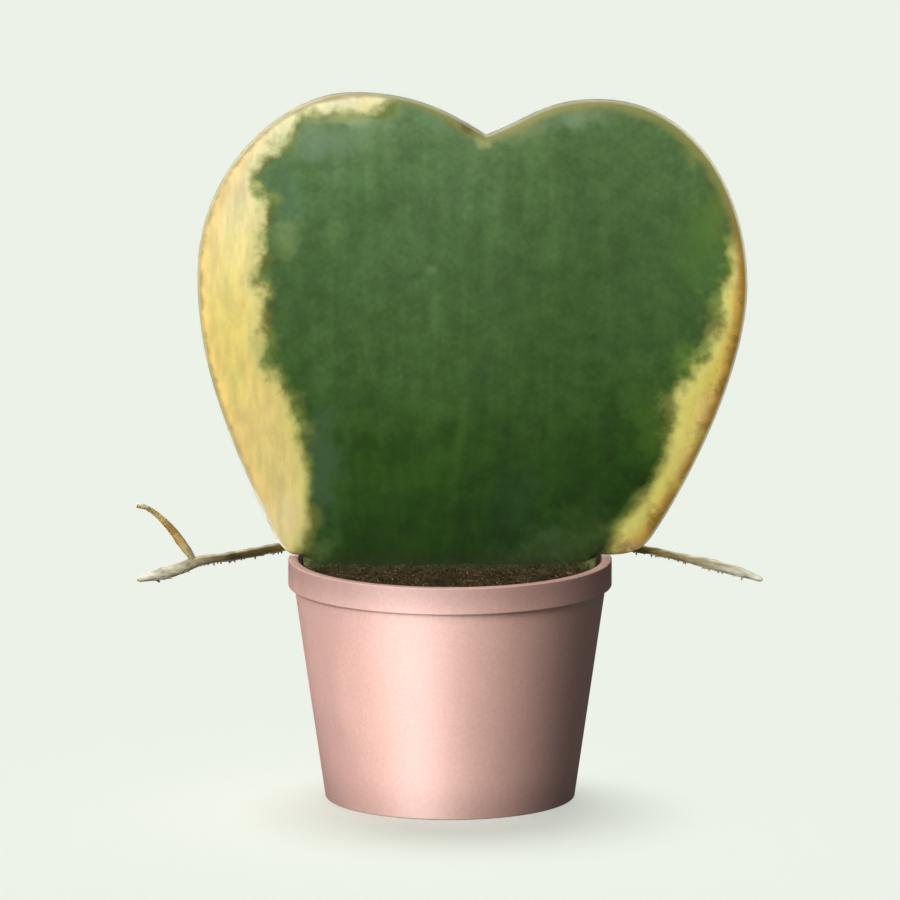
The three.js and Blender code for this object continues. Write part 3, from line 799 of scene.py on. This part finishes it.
def add_rootlets(bm, route, radii, draw):
    """Short stubs of dried air roots along the underside of a runner."""
    along = bm.verts.layers.float["along"]
    steps = 200
    points, _ = smooth_route(route, steps)
    evenly = np.linspace(0, 1, len(radii))
    for _ in range(ROOTLET_COUNT):
        share = draw.uniform(*ROOTLET_STRETCH)
        at = Vector(points[round(share * steps)])
        length = draw.uniform(*ROOTLET_LENGTHS)
        down = Vector((draw.uniform(-0.7, 0.7), draw.uniform(-0.8, 0.8), -1)).normalized()
        lie = Matrix.Translation((at + down * (np.interp(share, evenly, radii) * 0.8 + length / 2)) * MM)
        turn = (-down).to_track_quat("-Z", "Y").to_matrix().to_4x4()
        stub = bmesh.ops.create_cone(bm, segments=7, cap_ends=True, depth=length * MM, matrix=lie @ turn,
                                     radius1=ROOTLET_RADIUS * MM, radius2=ROOTLET_TIP * MM)
        for vert in stub["verts"]:
            vert[along] = share


def make_runner(name, node, route, radii, finish, seed=None):
    bm = bmesh.new()
    bm.verts.layers.float.new("along")
    rolled(bm, route, radii)
    bmesh.ops.remove_doubles(bm, verts=bm.verts, dist=1e-6)
    if seed:
        add_rootlets(bm, route, radii, random.Random(seed))
    add_piece(name, bm, finish, "runner_bark", node)


def make_runners():
    left = runner_bark("left_bark", [
        (0.5, tint(78, 63, 27)), (0.64, tint(62, 50, 17)), (0.76, tint(136, 126, 95)),
        (0.93, tint(178, 176, 153)),
    ])
    shoot = runner_bark("shoot_bark", [
        (0.05, tint(166, 156, 116)), (0.3, tint(176, 148, 90)), (0.5, tint(164, 132, 66)),
        (0.8, tint(160, 140, 92)), (1.0, tint(168, 152, 112)),
    ])
    # The right runner's first stop is paler: painted light near its root, where the leaf shades it.
    right = runner_bark("right_bark", [
        (0.54, tint(150, 130, 84)), (0.64, tint(102, 86, 52)), (0.76, tint(148, 138, 106)),
        (0.93, tint(184, 182, 160)),
    ])
    make_runner("runner_left_stem", "runner_left", LEFT_ROUTE, LEFT_RADII, left, 11)
    make_runner("runner_left_shoot", "runner_left", SHOOT_ROUTE, SHOOT_RADII, shoot)
    make_runner("runner_right_stem", "runner_right", RIGHT_ROUTE, RIGHT_RADII, right, 12)


# ---------------------------------------------------------------- studio

def aim(thing, place, target):
    thing.location = place
    thing.rotation_euler = (target - place).to_track_quat("-Z", "Y").to_euler()


def direction(azimuth, elevation):
    """The way to a lamp: azimuth 0 is the camera's side and negative is to its left."""
    turn, rise = math.radians(azimuth), math.radians(elevation)
    return Vector((math.sin(turn) * math.cos(rise), -math.cos(turn) * math.cos(rise), math.sin(rise)))


def lamp(name, azimuth, elevation, spread, strength, lit, shading=None):
    """A far soft light that falls only on the pieces in lit, with its directions and spread in degrees.

    Only the pieces in shading cast shadows in it, or everything does if none is given.
    """
    light = bpy.data.lights.new(name, "SUN")
    light.energy = strength
    light.angle = math.radians(spread)
    holder = bpy.data.objects.new(name, light)
    bpy.context.scene.collection.objects.link(holder)
    aim(holder, LAMP_TARGET + direction(azimuth, elevation), LAMP_TARGET)
    holder.light_linking.receiver_collection = lit
    if shading:
        holder.light_linking.blocker_collection = shading
    return holder


def group(name, pieces):
    """A collection that names the pieces a lamp lights or is shaded by."""
    members = bpy.data.collections.new(name)
    for piece in pieces:
        members.objects.link(piece)
    return members


def make_camera():
    camera = bpy.data.cameras.new("camera")
    camera.sensor_width = SENSOR_WIDTH
    camera.lens = SENSOR_WIDTH * CAMERA_DISTANCE / FIELD_WIDTH
    camera.clip_end = 20
    viewer = bpy.data.objects.new("camera", camera)
    bpy.context.scene.collection.objects.link(viewer)
    back = direction(0, math.degrees(CAMERA_ELEVATION))
    aim(viewer, CAMERA_TARGET + back * CAMERA_DISTANCE, CAMERA_TARGET)
    bpy.context.scene.camera = viewer


def make_floor():
    """A pale paper floor, which sheds no light on the plant."""
    bm = bmesh.new()
    bmesh.ops.create_grid(bm, x_segments=1, y_segments=1, size=8)
    mesh = bpy.data.meshes.new("floor")
    bm.to_mesh(mesh)
    bm.free()
    floor = bpy.data.objects.new("floor", mesh)
    bpy.context.scene.collection.objects.link(floor)
    floor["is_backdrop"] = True
    floor.visible_diffuse = False
    floor.visible_glossy = False
    paper = Finish("floor_paper")
    paper.set(Base_Color=tint(196, 201, 192), Roughness=1.0, Specular_IOR_Level=0.0,
              Emission_Color=tint(235, 241, 231), Emission_Strength=FLOOR_GLOW)
    mesh.materials.append(paper.material)
    return floor


def make_studio(pot):
    scene = bpy.context.scene
    scene.view_settings.view_transform = "Standard"
    make_camera()
    world = bpy.data.worlds.new("studio")
    world.use_nodes = True
    sky = world.node_tree.nodes["Background"]
    sky.inputs["Color"].default_value = (1, 1, 1, 1)
    sky.inputs["Strength"].default_value = WORLD_LIGHT
    scene.world = world
    plant = group("plant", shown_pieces())
    ware = group("ware", [pot])
    ground = group("ground", [make_floor()])
    grown = group("grown", [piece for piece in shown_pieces() if piece != pot])
    lamp("key", -33, 26, 32, 3.97, plant)
    lamp("top", -60, 80, 60, 1.2, plant)
    lamp("side", -60, 15, 40, 0.36, ware)
    lamp("pot_back", 180, 25, 30, 1.6, ware)

    # Two lamps light the plant's back and its right edge, and leave no glare on the leaf.
    back = lamp("back", 140, 18, 40, 1.75, grown)
    back.visible_glossy = False
    rim = lamp("rim", 101, -12, 16, 2.5, grown, plant)
    rim.visible_glossy = False

    # This one shows only in the glaze, as the broad sheen down the pot's front.
    gloss = lamp("gloss", -30, -30, 48, 4.5, ware, ware)
    gloss.visible_diffuse = False

    # The floor's light comes from behind, so the pot's shadow falls to the front.
    lamp("floor_light", -171, 68, 36, 1.85, ground, ware)


pot = make_pot()
make_soil()
make_leaf()
make_runners()
make_studio(pot)
